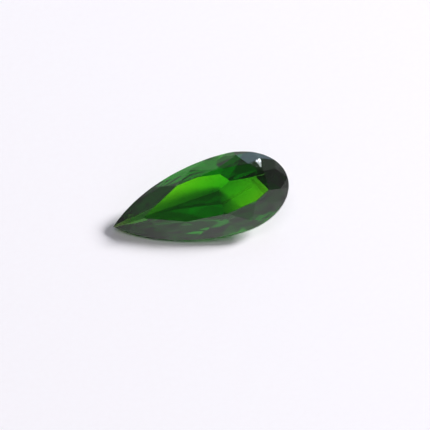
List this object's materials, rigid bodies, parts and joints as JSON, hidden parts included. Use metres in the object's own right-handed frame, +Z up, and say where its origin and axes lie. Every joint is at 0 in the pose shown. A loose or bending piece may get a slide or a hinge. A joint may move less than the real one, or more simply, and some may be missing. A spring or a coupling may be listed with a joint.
{
  "type": "faceted gemstone",
  "caption": "Pear-cut transparent green gem with a flat table, bevelled crown, thin girdle and a pavilion that runs to an off-centre culet, lying on one pavilion facet.",
  "frame": {"origin": "centre of the stone's footprint box, on the surface that it rests on", "axes": "+Z up from that surface, +X along the stone from its pointed tip to its rounded head, +Y away from the side that the table leans towards"},
  "size_m": [0.0118, 0.005, 0.0033],
  "materials": {
    "diopside": "polished facets, clear deep green, thin finely ground girdle"
  },
  "bodies": {
    "root": {"pear_cut_gem": "diopside"}
  },
  "joints": []
}
